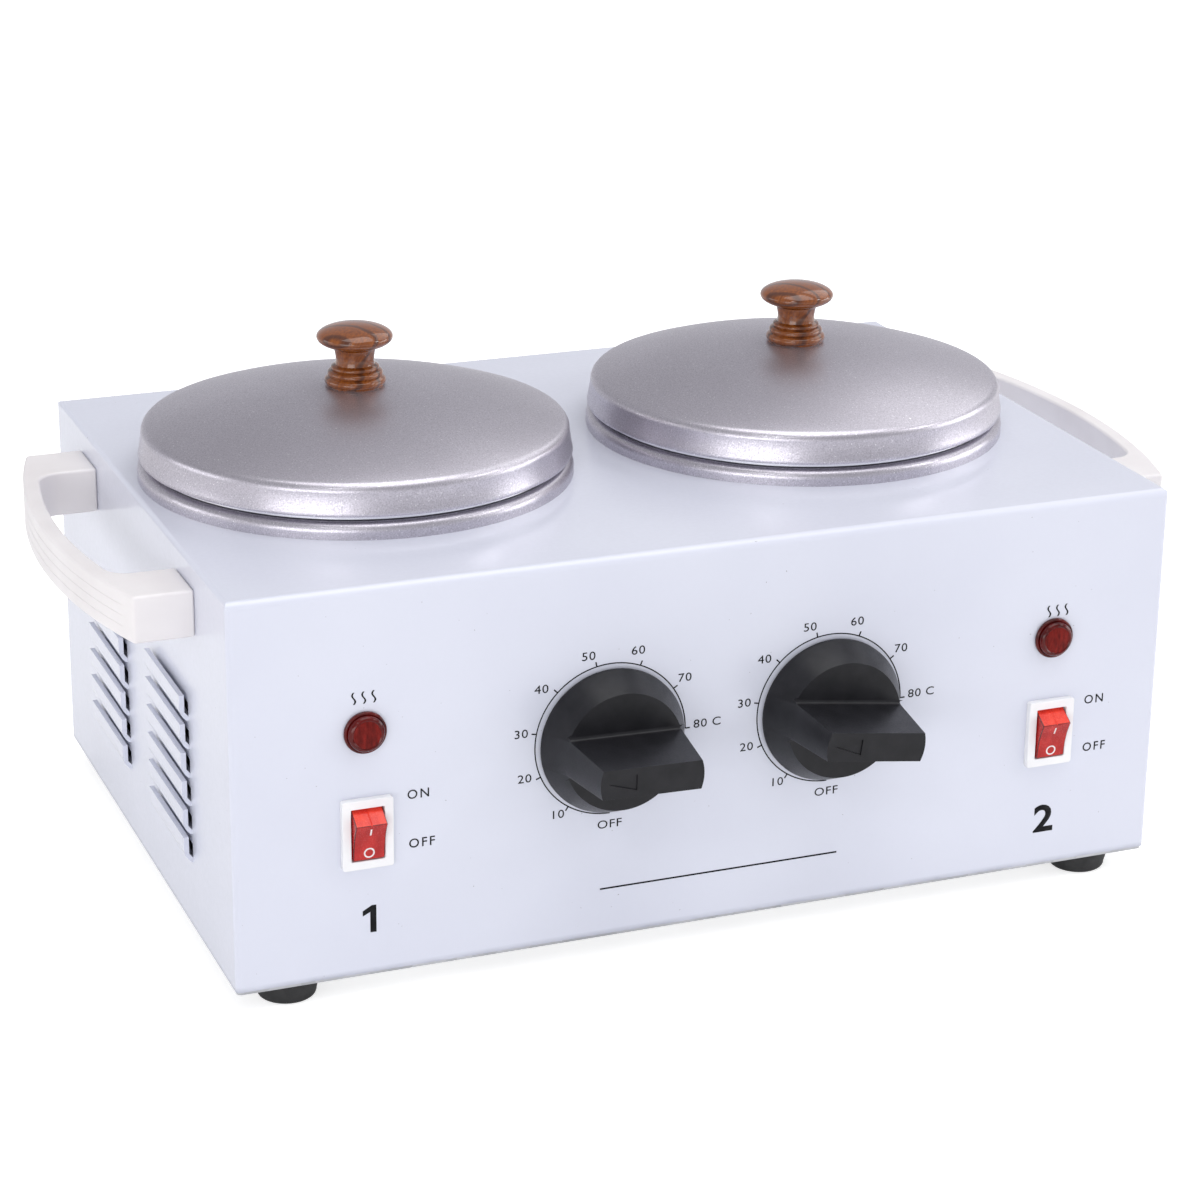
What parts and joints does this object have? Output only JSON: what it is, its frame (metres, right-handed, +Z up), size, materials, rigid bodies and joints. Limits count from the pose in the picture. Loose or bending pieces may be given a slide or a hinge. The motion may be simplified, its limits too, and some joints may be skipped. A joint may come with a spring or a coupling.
{
  "type": "double wax warmer",
  "caption": "Table-top warmer: white louvred box with round heated wells holding lift-out pots under domed lids with wooden knobs, dials and rocker switches in front.",
  "frame": {"origin": "bottom centre of the bounding box, on the table top under the feet", "axes": "+X to the right seen from the front, +Y to the rear, +Z up; the dials face -Y"},
  "size_m": [0.346, 0.2478, 0.1688],
  "materials": {
    "white_paint": "gloss",
    "zinc_sheet": "satin",
    "screw_steel": "satin",
    "rubber": "matte",
    "handle_plastic": "satin",
    "formed_aluminium": "satin",
    "silver_lid": "fine grain satin",
    "wood": "varnished",
    "brass": "satin",
    "heater_sheath": "dull",
    "ceramic": "matte",
    "copper": "satin",
    "black_plastic": "satin",
    "white_plastic": "gloss",
    "red_rocker": "gloss",
    "red_lens": "clear red gloss",
    "wire_sleeve": "satin"
  },
  "bodies": {
    "chassis": {"housing": "white_paint", "base_plate": "zinc_sheet", "base_screws": "screw_steel", "foot_screws": "screw_steel", "handle_screws": "screw_steel", "clamp_screws": "screw_steel", "thermostat_screws": "screw_steel", "terminal_screws": "screw_steel", "front_left_foot": "rubber", "front_right_foot": "rubber", "rear_left_foot": "rubber", "rear_right_foot": "rubber", "left_handle": "handle_plastic", "right_handle": "handle_plastic", "left_well": "formed_aluminium", "right_well": "formed_aluminium", "well_nuts": "brass", "earth_stud": "brass", "left_heater": "heater_sheath", "right_heater": "heater_sheath", "left_thermostat": "ceramic", "right_thermostat": "ceramic", "left_sensor": "copper", "right_sensor": "copper", "cable_gland": "black_plastic", "gland_nut": "black_plastic", "lamp_nuts": "black_plastic", "left_switch": "white_plastic", "right_switch": "white_plastic", "left_lamp_body": "white_plastic", "right_lamp_body": "white_plastic", "terminal_block": "white_plastic", "left_lamp_lens": "red_lens", "right_lamp_lens": "red_lens", "left_wiring": "wire_sleeve", "right_wiring": "wire_sleeve"},
    "left_pot_body": {"left_pot": "formed_aluminium"},
    "left_lid_body": {"left_lid": "silver_lid", "left_lid_knob": "wood", "left_lid_screw": "screw_steel"},
    "left_dial_body": {"left_dial": "black_plastic", "left_dial_shaft": "screw_steel"},
    "left_rocker_body": {"left_rocker": "red_rocker"},
    "right_pot_body": {"right_pot": "formed_aluminium"},
    "right_lid_body": {"right_lid": "silver_lid", "right_lid_knob": "wood", "right_lid_screw": "screw_steel"},
    "right_dial_body": {"right_dial": "black_plastic", "right_dial_shaft": "screw_steel"},
    "right_rocker_body": {"right_rocker": "red_rocker"}
  },
  "joints": [
    {"name": "left_pot_lift", "type": "slide", "parent": "chassis", "child": "left_pot_body", "axis": [0, 0, 1], "range_m": [0, 0.1]},
    {"name": "left_lid_lift", "type": "slide", "parent": "left_pot_body", "child": "left_lid_body", "axis": [0, 0, 1], "range_m": [0, 0.06]},
    {"name": "left_dial_turn", "type": "hinge", "parent": "chassis", "child": "left_dial_body", "pos_m": [-0.0333, -0.0921, 0.0688], "axis": [0, 1, 0], "range_deg": [-91.4, 178.6]},
    {"name": "left_rocker_tilt", "type": "hinge", "parent": "chassis", "child": "left_rocker_body", "pos_m": [-0.1065, -0.0906, 0.0512], "axis": [-1, 0, 0], "range_deg": [0, 32]},
    {"name": "right_pot_lift", "type": "slide", "parent": "chassis", "child": "right_pot_body", "axis": [0, 0, 1], "range_m": [0, 0.1]},
    {"name": "right_lid_lift", "type": "slide", "parent": "right_pot_body", "child": "right_lid_body", "axis": [0, 0, 1], "range_m": [0, 0.06]},
    {"name": "right_dial_turn", "type": "hinge", "parent": "chassis", "child": "right_dial_body", "pos_m": [0.0353, -0.0921, 0.0688], "axis": [0, 1, 0], "range_deg": [-98, 172]},
    {"name": "right_rocker_tilt", "type": "hinge", "parent": "chassis", "child": "right_rocker_body", "pos_m": [0.1085, -0.0906, 0.0512], "axis": [-1, 0, 0], "range_deg": [0, 32]}
  ]
}
